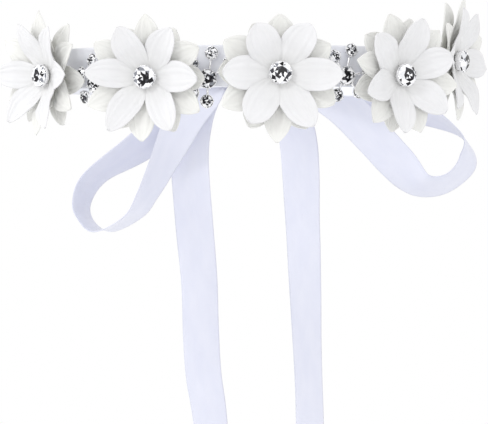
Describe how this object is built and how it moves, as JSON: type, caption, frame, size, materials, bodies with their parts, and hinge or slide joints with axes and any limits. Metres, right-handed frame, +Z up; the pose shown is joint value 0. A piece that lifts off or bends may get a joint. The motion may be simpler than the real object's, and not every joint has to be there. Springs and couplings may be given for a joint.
{
  "type": "flower crown",
  "caption": "Ribbon head circlet with layered petal flowers round claw-set stones, small stone sprays between them, and a bow with two hanging tails tied at the back.",
  "frame": {"origin": "centre of the circlet, halfway up its ribbon", "axes": "+Z up through the wearer's head, the middle flower towards -Y, the bow towards +Y"},
  "size_m": [0.2341, 0.2368, 0.2302],
  "materials": {
    "satin": "satin",
    "petal": "matt, lightly embossed",
    "silver": "polished",
    "crystal": "faceted and polished"
  },
  "bodies": {
    "crown": {"ribbon_circlet": "satin", "flower_1_rear_petals": "petal", "flower_1_middle_petals": "petal", "flower_1_front_petals": "petal", "flower_1_stone_cup": "silver", "flower_1_stone": "crystal", "flower_2_rear_petals": "petal", "flower_2_middle_petals": "petal", "flower_2_front_petals": "petal", "flower_2_stone_cup": "silver", "flower_2_stone": "crystal", "flower_3_rear_petals": "petal", "flower_3_middle_petals": "petal", "flower_3_front_petals": "petal", "flower_3_stone_cup": "silver", "flower_3_stone": "crystal", "flower_4_rear_petals": "petal", "flower_4_middle_petals": "petal", "flower_4_front_petals": "petal", "flower_4_stone_cup": "silver", "flower_4_stone": "crystal", "flower_5_rear_petals": "petal", "flower_5_middle_petals": "petal", "flower_5_front_petals": "petal", "flower_5_stone_cup": "silver", "flower_5_stone": "crystal", "spray_1_casting": "silver", "spray_1_centre_stone": "crystal", "spray_1_stone_1": "crystal", "spray_1_stone_2": "crystal", "spray_1_stone_3": "crystal", "spray_1_stone_4": "crystal", "spray_1_stone_5": "crystal", "spray_2_casting": "silver", "spray_2_centre_stone": "crystal", "spray_2_stone_1": "crystal", "spray_2_stone_2": "crystal", "spray_2_stone_3": "crystal", "spray_2_stone_4": "crystal", "spray_2_stone_5": "crystal", "spray_3_casting": "silver", "spray_3_centre_stone": "crystal", "spray_3_stone_1": "crystal", "spray_3_stone_2": "crystal", "spray_3_stone_3": "crystal", "spray_3_stone_4": "crystal", "spray_3_stone_5": "crystal", "spray_4_casting": "silver", "spray_4_centre_stone": "crystal", "spray_4_stone_1": "crystal", "spray_4_stone_2": "crystal", "spray_4_stone_3": "crystal", "spray_4_stone_4": "crystal", "spray_4_stone_5": "crystal", "bow_knot": "satin"},
    "left_loop": {"bow_left_loop": "satin"},
    "right_loop": {"bow_right_loop": "satin"},
    "left_tail": {"bow_left_tail": "satin"},
    "right_tail": {"bow_right_tail": "satin"}
  },
  "joints": [
    {"name": "left_loop_lift", "type": "hinge", "parent": "crown", "child": "left_loop", "pos_m": [0.00152, 0.09295, 0], "axis": [0.1045, 0.9945, 0], "range_deg": [-3, 30], "stiffness_Nm_per_rad": 0.02},
    {"name": "right_loop_lift", "type": "hinge", "parent": "crown", "child": "right_loop", "pos_m": [0.01783, 0.09124, 0], "axis": [-0.1045, -0.9945, 0], "range_deg": [-3, 30], "stiffness_Nm_per_rad": 0.02},
    {"name": "left_tail_swing", "type": "hinge", "parent": "crown", "child": "left_tail", "pos_m": [0.01022, 0.09726, -0.002], "axis": [0.9945, -0.1045, 0], "range_deg": [0, 50]},
    {"name": "right_tail_swing", "type": "hinge", "parent": "crown", "child": "right_tail", "pos_m": [0.01022, 0.09726, -0.002], "axis": [0.9945, -0.1045, 0], "range_deg": [0, 50]}
  ]
}
